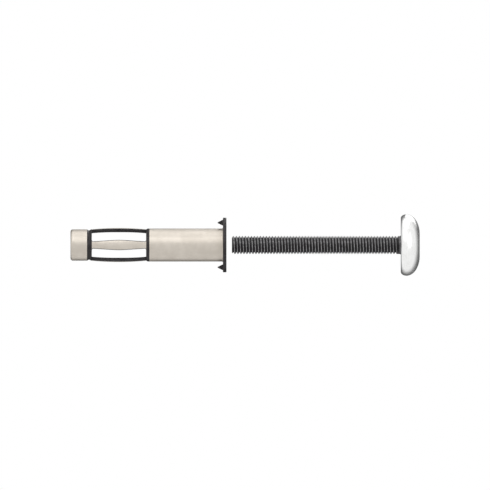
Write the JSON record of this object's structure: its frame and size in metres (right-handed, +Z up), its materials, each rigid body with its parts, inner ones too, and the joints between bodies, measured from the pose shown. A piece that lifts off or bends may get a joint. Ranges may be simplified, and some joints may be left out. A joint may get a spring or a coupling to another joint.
{
  "type": "metal hollow wall anchor",
  "caption": "Slotted steel sleeve with a flange and a nut rolled into its far end, and its machine screw, drawn back out of the sleeve.",
  "frame": {"origin": "centre of the sleeve at the flange's back face, where it bears on the wall", "axes": "+X along the screw, out of the wall towards the screw's head; +Z up"},
  "size_m": [0.1164, 0.0206, 0.0206],
  "materials": {
    "sleeve": "warm grey passivated zinc, satin, darker on its sheared edges",
    "nut": "dark machined steel",
    "screw": "bright zinc, darker in the thread"
  },
  "bodies": {
    "sleeve": {"anchor_sleeve": "sleeve", "threaded_nut": "nut"},
    "screw": {"machine_screw": "screw"}
  },
  "joints": [
    {"name": "screw_drive", "type": "slide", "parent": "sleeve", "child": "screw", "axis": [-1, 0, 0], "range_m": [0, 0.0578]}
  ]
}
